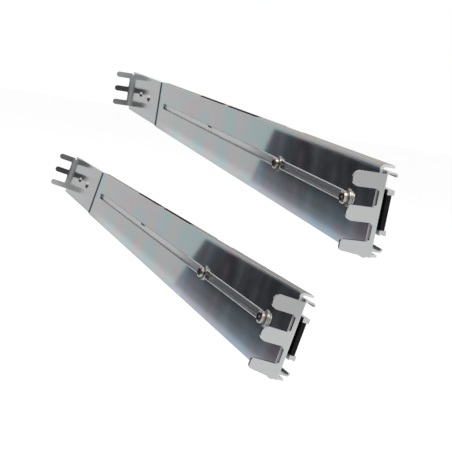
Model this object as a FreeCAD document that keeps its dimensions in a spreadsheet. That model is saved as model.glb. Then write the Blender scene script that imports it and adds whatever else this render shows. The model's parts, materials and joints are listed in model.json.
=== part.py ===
import FreeCAD, Part
import os
import re
import Sketcher

# A pair of sliding server rails. Each rail is a zinc-plated outer channel with a forked front
# bracket, an adjustable rear extension with a forked rear bracket, and a slim three-piece
# ball-bearing slide on its inner side.
# A rail's own frame: X runs along the rail to the front, Y goes inward to the server, Z is up.
# The origin lies on the front face of the front flange, in the plane of the channel's outer
# face, at the height of the middle hole of the rack unit.

doc = FreeCAD.newDocument("ServerRailPair")
dims = doc.addObject("Spreadsheet::Sheet", "Dims")

SIZES = [
    # the rack and the pair
    ("RackPitch", 15.875, "height between the rack holes that the fingers meet"),
    ("PairAlong", -10.3, "place of the second rail's origin along X"),
    ("PairAcross", -25.7, "place of the second rail's origin along Y"),
    ("PairDrop", 65.7, "how far the second rail's origin lies below the first"),
    ("PairYaw", 2.55, "turn of the second rail about Z, degrees"),
    ("PairPitch", -3.7, "turn of the second rail about Y, degrees"),
    ("PairRoll", -12.4, "turn of the second rail about X, degrees"),
    ("CutOver", 1.0, "how far open cuts run past the sheet"),
    # outer channel
    ("ChannelTall", 43.6, "height of the outer channel"),
    ("ChannelLift", 0.4, "channel's middle above the middle rack hole"),
    ("ChannelDeep", 7.0, "depth of the channel over its flanges"),
    ("ChannelWall", 1.2, "channel's sheet"),
    ("ChannelBend", 1.0, "channel's inner bend radius"),
    ("ChannelSetback", 4.0, "channel's front edge behind the front flange"),
    ("ChannelLong", 487.0, "length of the channel"),
    ("SlotWide", 5.0, "width of the long adjusting slot"),
    ("AxisLift", 0.8, "slot, screws and rivets above the middle rack hole"),
    ("SlotLead", 0.8, "slot's front end centre ahead of the front screw"),
    ("SlotTail", 24.8, "slot's rear end centre ahead of the channel's rear edge"),
    ("WindowStart", 194.0, "front end of the first window in the top bend"),
    ("WindowLong", 65.0, "length of a window"),
    ("WindowStep", 81.0, "pitch of the windows"),
    ("WindowDeep", 5.8, "how far a window reaches inward from the outer face"),
    ("WindowDrop", 1.6, "how far a window reaches down from the top"),
    ("ReliefStart", 120.0, "front end of the relief in the top flange's edge"),
    ("ReliefLong", 30.0, "length of the relief"),
    ("ReliefDeep", 1.4, "depth of the relief"),
    # forks
    ("FlangeWall", 1.5, "sheet of the two forked brackets' flanges"),
    ("FlangeBend", 2.0, "outer bend radius of the forked flanges"),
    ("FingerWide", 7.2, "height of a finger"),
    ("FingerLong", 14.7, "reach of the front fingers and of the tab beyond the channel's face"),
    ("FingerDrop", 1.0, "front fingers below the rack holes, free play of the fork"),
    ("TabTop", 13.4, "tab's top edge below the middle rack hole"),
    ("TabTip", 5.2, "height of the tab's blunt tip"),
    ("TabSlope", 2.4, "fall of the tab's lower edge from its tip to the channel"),
    ("NotchRoot", 0.5, "notch's inner end outside the channel's face"),
    ("NotchRound", 1.5, "corner radius of the notches and of the tab"),
    ("FingerFlat", 0.2, "flat left between the two rounds of a finger's end"),
    ("BracketLong", 22.0, "length of the front bracket's web"),
    ("RearFingerLong", 17.8, "reach of the rear fingers beyond the channel's face"),
    ("RearNotchRoot", 3.5, "rear notches' inner end outside the extension's face"),
    ("RearFingerWide", 6.0, "height of a rear finger"),
    ("RearFingerLift", 0.6, "rear fingers above the rack holes, free play of the fork"),
    ("RearBracketLong", 115.0, "length of the rear bracket's web"),
    # rear extension
    ("HeadOut", 169.0, "how far the extension reaches behind the channel when pushed in"),
    ("HeadClear", 0.8, "extension's tall head behind the channel's rear edge"),
    ("HeadShy", 0.4, "extension's head short of the channel's top and bottom"),
    ("NestGap", 0.3, "clearance of the extension in the channel"),
    ("ExtensionWall", 1.2, "extension's sheet"),
    ("ExtensionBend", 0.6, "extension's inner bend radius"),
    ("ExtensionDeep", 4.5, "depth of the extension's head over its flanges"),
    ("HeadNest", 66.0, "length of the extension's wide plate inside the channel"),
    ("TongueFront", 25.0, "front end of the extension's tongue"),
    ("TongueHalf", 10.0, "half the tongue's height"),
    ("ShoulderRun", 10.0, "length of the sloped shoulders between head and tongue"),
    ("DashStart", 293.5, "front end of the sighting slit in the tongue"),
    ("DashLong", 13.0, "length of the sighting slit"),
    ("DashWide", 2.2, "width of the sighting slit"),
    ("DashUp", 2.6, "height of the sighting slit's middle"),
    # screws of the extension
    ("FrontScrew", 32.4, "front adjusting screw behind the front flange"),
    ("ScrewStep", 101.2, "distance between the two adjusting screws"),
    ("ScrewShank", 2.0, "radius of the screw's shank"),
    ("ScrewHead", 3.4, "radius of the pan head"),
    ("ScrewHeadTall", 2.2, "height of the pan head"),
    ("ScrewHeadFlat", 2.1, "radius of the pan head's flat top"),
    ("ScrewHeadCrown", 3.1, "radius of the pan head between its crown and its side"),
    ("ScrewCrownTall", 0.6, "height of the pan head's crown"),
    ("ScrewSideTall", 1.0, "height of the pan head's straight side"),
    ("CrossWide", 1.1, "width of the cross recess"),
    ("CrossLong", 3.8, "length of the cross recess"),
    ("CrossDeep", 1.5, "depth of the cross recess"),
    ("LockWasherOut", 4.0, "outer radius of the split lock washer"),
    ("LockWasherTall", 0.7, "height of the split lock washer"),
    ("LockWasherSlit", 0.8, "width of the lock washer's slit"),
    ("FlatWasherOut", 4.6, "outer radius of the flat washer"),
    ("FlatWasherTall", 0.6, "height of the flat washer"),
    ("WasherPlay", 0.1, "play between washer and channel"),
    ("ShankPlay", 0.05, "radial play of the washers on the shank"),
    # rivets of the rear bracket
    ("LargeRivetLead", 108.0, "large rivet ahead of the rear flange"),
    ("SmallRivetLead", 64.0, "small rivet ahead of the rear flange"),
    ("LargeRivetHead", 3.6, "radius of the large rivet's head"),
    ("SmallRivetHead", 2.6, "radius of the small rivet's head"),
    ("RivetHeadTall", 1.5, "height of the rivets' heads"),
    ("RivetRim", 0.5, "height of the rim of a rivet's domed head"),
    ("RivetShank", 1.6, "radius of the rivets' shanks"),
    # ball-bearing slide
    ("SlideGap", 0.3, "running gap between sheets that pass each other"),
    ("SlideFront", 4.5, "front end of the slide's outer member"),
    ("SlideShort", 1.5, "rear end of the slide's outer member ahead of the channel's"),
    ("SlideClear", 1.7, "outer member clear of the channel's flanges, above and below"),
    ("SlideDeep", 9.6, "inner face of the slide from the channel's outer face"),
    ("SlideWall", 1.0, "sheet of the slide's members"),
    ("LipWall", 0.9, "thickness of the outer member's curled lips"),
    ("LipRound", 1.5, "outer radius of the outer member's corners"),
    ("LipTall", 1.9, "height of the curled lips"),
    ("BallSize", 3.175, "ball diameter"),
    ("RacePlay", 0.03, "radial play of the balls in their races"),
    ("RaceDeep", 0.35, "depth of a race groove"),
    ("OuterRow", 6.4, "outer ball rows' distance from the channel's outer face"),
    ("InnerRow", 7.5, "inner ball rows' distance from the channel's outer face"),
    ("MiddleFront", 18.0, "front end of the middle member"),
    ("MiddleRest", 10.0, "rear end of the middle member ahead of the rear stop"),
    ("BarTall", 2.0, "height of the middle member's race bars"),
    ("BarShort", 0.3, "bars' inner faces short of the slide's inner face"),
    ("InnerFront", 4.5, "front end of the inner member"),
    ("InnerRest", 1.5, "rear end of the inner member ahead of the rear stop"),
    ("InnerWall", 2.4, "height of the inner member's flanges"),
    ("InnerDeep", 3.6, "depth of the inner member over its flanges"),
    ("ServerHole", 2.25, "radius of the holes that take the server's screws"),
    ("ServerHoleStart", 60.0, "first of those holes behind the front flange"),
    ("ServerHoleStep", 120.0, "pitch of those holes"),
    ("CageTall", 1.0, "thickness of a ball cage strip"),
    ("CagePlay", 0.06, "radial play of a ball in its cage"),
    ("CageEdge", 0.2, "inner cage strips' edge short of the slide's inner face"),
    ("OuterCageFront", 134.0, "front end of the outer cage strips"),
    ("InnerCageFront", 144.0, "front end of the inner cage strips"),
    ("BallStep", 28.0, "pitch of the balls in a cage"),
    ("BallInset", 10.0, "outermost balls from the cage's ends"),
    # studs, stops, pads and lever
    ("StudStart", 60.0, "first pair of weld studs behind the front flange"),
    ("StudLead", 25.0, "last pair of weld studs ahead of the extension's wide plate"),
    ("StudUp", 14.0, "weld studs above and below the rail's middle"),
    ("StudShoulder", 2.4, "radius of a weld stud's shoulder"),
    ("StudTail", 1.6, "radius of a weld stud's tail"),
    ("StudPlay", 0.02, "radial play of a stud's tail in the slide before it is peened"),
    ("NoseLong", 17.0, "length of the front bumper"),
    ("NoseCut", 12.0, "length of the inner member's web cut back at its front"),
    ("NoseDeep", 2.4, "depth of the front bumper's body"),
    ("StopLong", 6.5, "length of the rear stop"),
    ("StopHalf", 9.0, "half the rear stop's height"),
    ("StopDeep", 4.6, "depth of the rear stop"),
    ("StopRound", 2.2, "corner radius of the rear stop"),
    ("PadStart", 188.0, "front end of the damping pad under the top flange"),
    ("PadLong", 160.0, "length of the damping pad"),
    ("PadDeep", 6.8, "depth of the damping pad"),
    ("LeverPivot", 360.0, "release lever's pivot behind the front flange"),
    ("LeverLong", 52.0, "length of the release lever"),
    ("LeverTail", 14.0, "lever's end ahead of its pivot"),
    ("LeverHalf", 3.6, "half the lever's height"),
    ("LeverWall", 1.8, "thickness of the release lever"),
    ("LeverGap", 0.3, "gap of the release lever to the inner member's web"),
    ("PivotPin", 1.5, "radius of the lever's pivot pin"),
    ("PinPlay", 0.05, "radial running play of the lever on its pin"),
    ("ThumbLong", 9.0, "length of the lever's thumb pad"),
    ("ThumbHalf", 2.6, "half the thumb pad's height"),
    ("ThumbWindow", 3.0, "clearance of the inner member's window round the thumb pad"),
]
BALLS_IN_A_ROW = 8
STUDS_IN_A_ROW = 3
QUARTER_TURN = 1.5707963267948966

for row, (alias, value, note) in enumerate(SIZES, start=1):
    dims.set(f"A{row}", note)
    dims.set(f"B{row}", str(value))
    dims.setAlias(f"B{row}", alias)
doc.recompute()

# Places that several pieces share, written once as formulas of the driving sizes. A formula
# may use a name that stands further down.
WORKED_OUT = {
    "LargeRivet": "(RailLong - LargeRivetLead)",
    "SmallRivet": "(RailLong - SmallRivetLead)",
    "RailLong": "(ChannelEnd + HeadOut)",
    "HeadFront": "(ChannelEnd - HeadNest)",
    "MiddleLong": "(ChannelEnd - SlideShort - StopLong - MiddleRest - MiddleFront)",
    "InnerLong": "(ChannelEnd - SlideShort - StopLong - InnerRest - InnerFront)",
    "OuterLong": "(ChannelEnd - SlideShort - SlideFront)",
    "CageLong": f"(2 * BallInset + {BALLS_IN_A_ROW - 1} * BallStep)",
    "ChannelTop": "(ChannelTall - ChannelDrop)",
    "ChannelBase": "(0 - ChannelDrop)",
    "ExtensionFace": "(ChannelWall + NestGap)",
    "ExtensionBack": "(ChannelWall + NestGap + ExtensionWall)",
    "ExtensionTop": "(ChannelTall - ChannelDrop - HeadShy)",
    "ExtensionBase": "(HeadShy - ChannelDrop)",
    "PlateTop": "(ChannelTall - ChannelDrop - ChannelWall - ChannelBend)",
    "PlateBase": "(ChannelWall + ChannelBend - ChannelDrop)",
    "HeadStart": "(ChannelEnd + HeadClear)",
    "SlideBack": "(ChannelWall + 2 * NestGap + ExtensionWall)",
    "OuterHalf": "(OuterTall / 2)",
    "OuterInside": "(OuterTall / 2 - SlideWall)",
    "RaceSize": "(BallSize / 2 + RacePlay)",
    "OuterBall": "(OuterTall / 2 - SlideWall + RaceDeep - BallSize / 2 - RacePlay)",
    "BarTop": "(OuterTall / 2 - SlideWall + 2 * RaceDeep - BallSize - 2 * RacePlay)",
    "BarBase": "(OuterTall / 2 - SlideWall + 2 * RaceDeep - BallSize - 2 * RacePlay - BarTall)",
    "InnerBall": "(OuterTall / 2 - SlideWall + 3 * RaceDeep - 1.5 * BallSize - 3 * RacePlay - BarTall)",
    "InnerHalf": "(OuterTall / 2 - SlideWall + 4 * RaceDeep - 2 * BallSize - 4 * RacePlay - BarTall)",
    "MiddleBack": "(ChannelWall + 2 * NestGap + ExtensionWall + SlideWall + SlideGap)",
    "ChannelDrop": "(ChannelTall / 2 - ChannelLift)",
    "OuterTall": "(ChannelTall - 2 * ChannelWall - 2 * SlideClear)",
    "StudStep": f"((ChannelEnd - HeadNest - StudLead - StudStart) / {STUDS_IN_A_ROW - 1})",
    "ChannelEnd": "(ChannelSetback + ChannelLong)",
}


def sized(formula):
    """Write a formula of size names the way the sheet's expressions need it."""
    text = str(formula)
    for name, meaning in WORKED_OUT.items():
        text = re.sub(rf"\b{name}\b", meaning, text)
    return re.sub(r"\b([A-Z][A-Za-z]+)\b", lambda word: "Dims." + word.group(1), text)


def number(formula):
    """Value of a formula of size names, in millimetres."""
    return float(dims.evalExpression(sized(formula)))


def spot(x, y, z):
    return FreeCAD.Vector(number(x), number(y), number(z))


# ---------------------------------------------------------------- building blocks

def new_body(label, place):
    body = doc.addObject("PartDesign::Body", label)
    body.Label = label
    body.Placement = place
    return body


def origin_piece(body, role):
    return next(piece for piece in body.Origin.OriginFeatures if piece.Role == role)


def new_sketch(body, role, name, shift=("0", "0", "0")):
    """A sketch on one of the body's own planes, shifted by formulas in the plane's own axes."""
    sketch = body.newObject("Sketcher::SketchObject", name)
    sketch.AttachmentSupport = (origin_piece(body, role), "")
    sketch.MapMode = "FlatFace"
    for axis, formula in zip("xyz", shift):
        sketch.setExpression(f"AttachmentOffset.Base.{axis}", sized(formula))
    return sketch


def hold_point(sketch, line, end, place):
    """Tie a point of the sketch to its two formulas."""
    for kind, formula in zip(("DistanceX", "DistanceY"), place):
        tie = sketch.addConstraint(Sketcher.Constraint(kind, -1, 1, line, end, number(formula)))
        sketch.setExpression(f"Constraints[{tie}]", sized(formula))


def outline(sketch, corners):
    """A closed polygon whose corners are pairs of formulas."""
    points = [FreeCAD.Vector(number(across), number(up), 0) for across, up in corners]
    first = sketch.GeometryCount
    count = len(points)
    for index in range(count):
        sketch.addGeometry(Part.LineSegment(points[index], points[(index + 1) % count]), False)
    for index in range(count):
        following = first + (index + 1) % count
        sketch.addConstraint(Sketcher.Constraint("Coincident", first + index, 2, following, 1))
        hold_point(sketch, first + index, 1, corners[index])


def rectangle(sketch, low, high):
    outline(sketch, [low, (high[0], low[1]), high, (low[0], high[1])])


def circle(sketch, centre, radius):
    middle = FreeCAD.Vector(number(centre[0]), number(centre[1]), 0)
    ring = sketch.addGeometry(Part.Circle(middle, FreeCAD.Vector(0, 0, 1), number(radius)), False)
    hold_point(sketch, ring, 3, centre)
    size = sketch.addConstraint(Sketcher.Constraint("Radius", ring, number(radius)))
    sketch.setExpression(f"Constraints[{size}]", sized(radius))


def long_hole(sketch, start, end, up, radius):
    """A slot with round ends between two centres at one height, start lying at the lower X."""
    low = FreeCAD.Vector(number(start), number(up), 0)
    high = FreeCAD.Vector(number(end), number(up), 0)
    size = number(radius)
    rise = FreeCAD.Vector(0, size, 0)
    straight_up = FreeCAD.Vector(0, 0, 1)
    left = sketch.addGeometry(Part.ArcOfCircle(
        Part.Circle(low, straight_up, size), QUARTER_TURN, 3 * QUARTER_TURN), False)
    right = sketch.addGeometry(Part.ArcOfCircle(
        Part.Circle(high, straight_up, size), -QUARTER_TURN, QUARTER_TURN), False)
    lower = sketch.addGeometry(Part.LineSegment(low - rise, high - rise), False)
    upper = sketch.addGeometry(Part.LineSegment(high + rise, low + rise), False)
    for arc, arc_end, line, line_end in ((left, 2, lower, 1), (right, 1, lower, 2),
                                         (right, 2, upper, 1), (left, 1, upper, 2)):
        sketch.addConstraint(Sketcher.Constraint("Tangent", arc, arc_end, line, line_end))
    sketch.addConstraint(Sketcher.Constraint("Equal", left, right))
    hold_point(sketch, left, 3, (start, up))
    hold_point(sketch, right, 3, (end, up))
    tie = sketch.addConstraint(Sketcher.Constraint("Radius", left, size))
    sketch.setExpression(f"Constraints[{tie}]", sized(radius))


def pad(body, sketch, name, length, backward=False):
    feature = body.newObject("PartDesign::Pad", name)
    feature.Profile = sketch
    feature.Reversed = backward
    feature.setExpression("Length", sized(length))
    return feature


def pocket(body, sketch, name, depth=None, backward=False):
    """Cut a sketch into the body, to a depth, or right through both ways without one."""
    feature = body.newObject("PartDesign::Pocket", name)
    feature.Profile = sketch
    feature.Reversed = backward
    if depth is None:
        feature.SideType = "Symmetric"
        feature.Type = "ThroughAll"
    else:
        feature.setExpression("Length", sized(depth))
    return feature


def revolve(body, sketch, name):
    """Turn a sketch about its own upright axis."""
    feature = body.newObject("PartDesign::Revolution", name)
    feature.Profile = sketch
    feature.ReferenceAxis = (sketch, ["V_Axis"])
    feature.Angle = 360
    return feature


def repeat(body, features, name, step, count):
    """Repeat features rearwards along the rail; the copies may be separate solids."""
    body.AllowCompound = True
    pattern = body.newObject("PartDesign::LinearPattern", name)
    pattern.Originals = features
    pattern.Direction = (origin_piece(body, "X_Axis"), [""])
    pattern.Reversed = True
    pattern.Occurrences = count
    pattern.setExpression("Length", f"{sized(step)} * {count - 1}")
    body.Tip = pattern
    return pattern


def round_edges(body, name, radius, along, places):
    """Round the straight edges that run along one axis through the given places.

    Each place is a pair of formulas: the edge's two other coordinates, in X, Y, Z order.
    """
    doc.recompute()
    base = body.Tip
    axis = "XYZ".index(along)
    others = [index for index in range(3) if index != axis]
    wanted = [tuple(number(formula) for formula in place) for place in places]
    found = []
    for count, edge in enumerate(base.Shape.Edges, start=1):
        if not isinstance(edge.Curve, Part.Line) or abs(edge.Curve.Direction[axis]) < 0.999:
            continue
        middle = edge.CenterOfMass
        for place in wanted:
            if all(abs(middle[index] - value) < 0.02 for index, value in zip(others, place)):
                found.append(f"Edge{count}")
    if len(found) < len(wanted):
        raise RuntimeError(f"{body.Label} {name}: {len(found)} edges found for {len(wanted)}")
    feature = body.newObject("PartDesign::Fillet", name)
    feature.Base = (base, found)
    feature.setExpression("Radius", sized(radius))
    return feature


# ---------------------------------------------------------------- fixed side of a rail

def channel(rail, place):
    """Outer channel: web outside, flanges turned inward, long slot, windows in the top bend."""
    body = new_body(f"{rail}_channel", place)
    profile = new_sketch(body, "YZ_Plane", "channel_profile", ("0", "0", "0 - ChannelSetback"))
    wall_top = "ChannelTop - ChannelWall"
    wall_base = "ChannelBase + ChannelWall"
    outline(profile, [
        ("0", "ChannelBase"), ("ChannelDeep", "ChannelBase"), ("ChannelDeep", wall_base),
        ("ChannelWall", wall_base), ("ChannelWall", wall_top), ("ChannelDeep", wall_top),
        ("ChannelDeep", "ChannelTop"), ("0", "ChannelTop")])
    pad(body, profile, "channel_length", "ChannelLong", backward=True)
    round_edges(body, "inner_bends", "ChannelBend", "X",
                [("ChannelWall", wall_base), ("ChannelWall", wall_top)])
    round_edges(body, "outer_bends", "ChannelBend + ChannelWall", "X",
                [("0", "ChannelBase"), ("0", "ChannelTop")])

    slot = new_sketch(body, "XZ_Plane", "adjusting_slot")
    front_end = "SlotLead - FrontScrew"
    long_hole(slot, "SlotTail - ChannelEnd", front_end, "AxisLift", "SlotWide / 2")
    pocket(body, slot, "adjusting_slot_cut")

    windows = new_sketch(body, "XZ_Plane", "top_windows")
    for index in range(2):
        start = f"0 - WindowStart - {index} * WindowStep"
        rectangle(windows, (f"{start} - WindowLong", "ChannelTop - WindowDrop"),
                  (start, "ChannelTop + CutOver"))
    pocket(body, windows, "top_windows_cut", "WindowDeep")

    relief = new_sketch(body, "XY_Plane", "edge_relief", ("0", "0", "ChannelTop"))
    rectangle(relief, ("0 - ReliefStart - ReliefLong", "ChannelDeep - ReliefDeep"),
              ("0 - ReliefStart", "ChannelDeep + CutOver"))
    pocket(body, relief, "edge_relief_cut", "2 * ChannelWall")
    return body


def front_bracket(rail, place):
    """Front bracket: web welded inside the channel, flange forked for the rack's front post."""
    body = new_body(f"{rail}_front_bracket", place)
    top = "RackPitch - FingerDrop + FingerWide / 2"
    upper = "RackPitch - FingerDrop - FingerWide / 2"
    middle = "FingerWide / 2 - FingerDrop"
    lower = "0 - FingerDrop - FingerWide / 2"
    tab_top = "0 - TabTop"
    tab_low = "0 - TabTop - TabTip"
    inner = "ChannelWall + FlangeWall"
    root = "0 - NotchRoot"
    flange = new_sketch(body, "YZ_Plane", "forked_flange")
    outline(flange, [
        (inner, f"{tab_low} - TabSlope"), (inner, top), ("0 - FingerLong", top),
        ("0 - FingerLong", upper), (root, upper), (root, middle),
        ("0 - FingerLong", middle), ("0 - FingerLong", lower),
        (root, lower), (root, tab_top), ("0 - FingerLong", tab_top),
        ("0 - FingerLong", tab_low)])
    pad(body, flange, "flange_sheet", "FlangeWall", backward=True)
    web = new_sketch(body, "YZ_Plane", "bracket_web")
    edge = "ChannelWall + ChannelBend + NestGap"
    rectangle(web, ("ChannelWall", f"ChannelBase + {edge}"), (inner, f"ChannelTop - ({edge})"))
    pad(body, web, "web_sheet", "BracketLong", backward=True)
    round_edges(body, "finger_ends", "(FingerWide - FingerFlat) / 2", "X", [
        ("0 - FingerLong", top), ("0 - FingerLong", upper),
        ("0 - FingerLong", middle), ("0 - FingerLong", lower)])
    round_edges(body, "notch_corners", "NotchRound", "X", [
        (root, upper), (root, middle), (root, lower), (root, tab_top),
        ("0 - FingerLong", tab_top), ("0 - FingerLong", tab_low)])
    round_edges(body, "front_bend", "FlangeBend", "Z", [("0", inner)])
    return body


def weld_studs(rail, place):
    """Weld studs: shoulders that stand the slide off the channel, tails set flush in its web."""
    body = new_body(f"{rail}_weld_studs", place)
    for side, height in (("upper", "StudUp"), ("lower", "0 - StudUp")):
        profile = new_sketch(body, "XY_Plane", f"{side}_stud_profile",
                             ("0 - StudStart", "0", height))
        outline(profile, [
            ("0", "ChannelWall"), ("StudShoulder", "ChannelWall"), ("StudShoulder", "SlideBack"),
            ("StudTail", "SlideBack"), ("StudTail", "SlideBack + SlideWall"),
            ("0", "SlideBack + SlideWall")])
        stud = revolve(body, profile, f"{side}_stud")
        doc.recompute()
        repeat(body, [stud], f"{side}_stud_row", "StudStep", STUDS_IN_A_ROW)
    return body


def outer_member(rail, place):
    """Outer member of the slide: C section with short curled lips and two ball races."""
    body = new_body(f"{rail}_outer_member", place)
    lip = "SlideDeep - LipWall"
    lip_end = "OuterHalf - LipTall"
    face = "SlideBack + SlideWall"
    profile = new_sketch(body, "YZ_Plane", "outer_profile", ("0", "0", "0 - SlideFront"))
    outline(profile, [
        ("SlideBack", "0 - OuterHalf"), ("SlideDeep", "0 - OuterHalf"),
        ("SlideDeep", f"0 - ({lip_end})"), (lip, f"0 - ({lip_end})"),
        (lip, "0 - OuterInside"), (face, "0 - OuterInside"), (face, "OuterInside"),
        (lip, "OuterInside"), (lip, lip_end), ("SlideDeep", lip_end),
        ("SlideDeep", "OuterHalf"), ("SlideBack", "OuterHalf")])
    pad(body, profile, "outer_length", "OuterLong", backward=True)
    round_edges(body, "outer_corners", "LipRound", "X", [
        ("SlideBack", "0 - OuterHalf"), ("SlideBack", "OuterHalf"),
        ("SlideDeep", "0 - OuterHalf"), ("SlideDeep", "OuterHalf")])
    races = new_sketch(body, "YZ_Plane", "outer_races", ("0", "0", "0 - SlideFront"))
    circle(races, ("OuterRow", "OuterBall"), "RaceSize")
    circle(races, ("OuterRow", "0 - OuterBall"), "RaceSize")
    pocket(body, races, "outer_race_grooves", "OuterLong")
    holes = new_sketch(body, "XZ_Plane", "stud_holes")
    for column in range(STUDS_IN_A_ROW):
        for side in ("StudUp", "0 - StudUp"):
            circle(holes, (f"0 - StudStart - {column} * StudStep", side), "StudTail + StudPlay")
    pocket(body, holes, "stud_hole_cuts")
    return body


def rear_stop(rail, place):
    """Rear stop: black rubber block seated on the outer member's web behind the moving members."""
    body = new_body(f"{rail}_rear_stop", place)
    rear = "0 - SlideFront - OuterLong"
    shape = new_sketch(body, "XZ_Plane", "stop_shape", ("0", "0", "0 - SlideBack - SlideWall"))
    rectangle(shape, (rear, "0 - StopHalf"), (f"{rear} + StopLong", "StopHalf"))
    pad(body, shape, "stop_block", "StopDeep", backward=True)
    front = f"{rear} + StopLong"
    round_edges(body, "stop_corners", "StopRound", "Y",
                [(front, "0 - StopHalf"), (front, "StopHalf")])
    return body


def damping_pad(rail, place):
    """Damping pad: black foam strip between the channel's top flange and the slide."""
    body = new_body(f"{rail}_damping_pad", place)
    shape = new_sketch(body, "YZ_Plane", "pad_section", ("0", "0", "0 - PadStart"))
    rectangle(shape, ("ExtensionBack", "OuterHalf"),
              ("ExtensionBack + PadDeep - ExtensionWall", "ChannelTop - ChannelWall"))
    pad(body, shape, "pad_strip", "PadLong", backward=True)
    return body


# ---------------------------------------------------------------- rear extension

def rear_extension(rail, place):
    """Rear extension: tongue behind the slot, wide plate, full-height head behind the channel."""
    body = new_body(f"{rail}_rear_extension", place)
    head = "0 - HeadStart"
    deep = "ExtensionFace + ExtensionDeep"
    under = "ExtensionTop - ExtensionWall"
    over = "ExtensionBase + ExtensionWall"
    section = new_sketch(body, "YZ_Plane", "head_section", ("0", "0", head))
    outline(section, [
        ("ExtensionFace", "ExtensionBase"), (deep, "ExtensionBase"), (deep, over),
        ("ExtensionBack", over), ("ExtensionBack", under), (deep, under),
        (deep, "ExtensionTop"), ("ExtensionFace", "ExtensionTop")])
    pad(body, section, "head_sheet", "RailLong - FlangeWall - HeadStart", backward=True)
    round_edges(body, "head_inner_bends", "ExtensionBend", "X",
                [("ExtensionBack", over), ("ExtensionBack", under)])
    round_edges(body, "head_outer_bends", "ExtensionBend + ExtensionWall", "X", [
        ("ExtensionFace", "ExtensionBase"), ("ExtensionFace", "ExtensionTop")])
    tongue = new_sketch(body, "XZ_Plane", "tongue_outline", ("0", "0", "0 - ExtensionFace"))
    plate = "0 - HeadFront"
    outline(tongue, [
        ("0 - TongueFront", "0 - TongueHalf"), ("0 - TongueFront", "TongueHalf"),
        (f"{plate} + ShoulderRun", "TongueHalf"), (plate, "PlateTop"),
        (f"{head} - CutOver", "PlateTop"), (f"{head} - CutOver", "PlateBase"),
        (plate, "PlateBase"), (f"{plate} + ShoulderRun", "0 - TongueHalf")])
    pad(body, tongue, "tongue_sheet", "ExtensionWall", backward=True)
    holes = new_sketch(body, "XZ_Plane", "extension_holes")
    for index in range(2):
        circle(holes, (f"0 - FrontScrew - {index} * ScrewStep", "AxisLift"), "ScrewShank")
    for rivet in ("LargeRivet", "SmallRivet"):
        circle(holes, (f"0 - {rivet}", "AxisLift"), "RivetShank")
    long_hole(holes, "DashWide / 2 - DashStart - DashLong", "0 - DashStart - DashWide / 2",
              "DashUp", "DashWide / 2")
    pocket(body, holes, "extension_hole_cuts")
    return body


def rear_bracket(rail, place):
    """Rear bracket: web riveted inside the head, flange forked for the rack's rear post."""
    body = new_body(f"{rail}_rear_bracket", place)
    half = "RearFingerWide / 2"
    inner = "ExtensionBack + FlangeWall"
    root = "ExtensionFace - RearNotchRoot"
    tip = "0 - RearFingerLong"
    corners = [(inner, f"RearFingerLift - RackPitch - {half}"),
               (inner, f"RearFingerLift + RackPitch - {half}"),
               ("0", f"RearFingerLift + RackPitch + {half}")]
    tips = []
    roots = []
    for step in (1, 0, -1):
        middle = f"RearFingerLift + ({step}) * RackPitch"
        if step < 1:
            corners.append((root, f"{middle} + {half}"))
            roots.append((root, f"{middle} + {half}"))
        corners.append((tip, f"{middle} + {half}"))
        corners.append((tip, f"{middle} - {half}"))
        tips.append((tip, f"{middle} + {half}"))
        tips.append((tip, f"{middle} - {half}"))
        if step > -1:
            corners.append((root, f"{middle} - {half}"))
            roots.append((root, f"{middle} - {half}"))
    flange = new_sketch(body, "YZ_Plane", "rear_forked_flange", ("0", "0", "0 - RailLong"))
    outline(flange, corners)
    pad(body, flange, "rear_flange_sheet", "FlangeWall")
    web = new_sketch(body, "XZ_Plane", "rear_bracket_web", ("0", "0", "0 - ExtensionBack"))
    edge = "ExtensionWall + ExtensionBend + NestGap"
    end = "RearBracketLong - RailLong"
    outline(web, [
        ("0 - RailLong", f"RearFingerLift - RackPitch - {half}"),
        (f"{end} - ShoulderRun", f"ExtensionBase + {edge}"), (end, "0 - TongueHalf"),
        (end, "TongueHalf"), (f"{end} - ShoulderRun", f"ExtensionTop - ({edge})"),
        ("0 - RailLong", f"RearFingerLift + RackPitch - {half}")])
    pad(body, web, "rear_web_sheet", "FlangeWall", backward=True)
    round_edges(body, "rear_finger_ends", "(RearFingerWide - FingerFlat) / 2", "X", tips)
    round_edges(body, "rear_notch_corners", "NotchRound", "X", roots)
    holes = new_sketch(body, "XZ_Plane", "rear_rivet_holes")
    for rivet in ("LargeRivet", "SmallRivet"):
        circle(holes, (f"0 - {rivet}", "AxisLift"), "RivetShank")
    pocket(body, holes, "rear_rivet_hole_cuts")
    return body


def rear_rivets(rail, place):
    """Two rivets with domed heads that join the rear bracket to the extension."""
    body = new_body(f"{rail}_rear_rivets", place)
    body.AllowCompound = True
    for name, across, head in (("large", "LargeRivet", "LargeRivetHead"),
                               ("small", "SmallRivet", "SmallRivetHead")):
        shape = new_sketch(body, "XY_Plane", f"{name}_rivet", (f"0 - {across}", "0", "AxisLift"))
        outline(shape, [
            ("0", "ExtensionFace - RivetHeadTall"),
            (f"{head} / 2", "ExtensionFace - RivetHeadTall"),
            (head, "ExtensionFace - RivetRim"), (head, "ExtensionFace"),
            ("RivetShank", "ExtensionFace"), ("RivetShank", "ExtensionBack + FlangeWall"),
            ("0", "ExtensionBack + FlangeWall")])
        revolve(body, shape, f"{name}_rivet_turned")
    return body


def screw_station(formula):
    """Place of the front adjusting screw, for a sketch on the plane through both screws."""
    return ("0 - FrontScrew", formula, "AxisLift")


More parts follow.
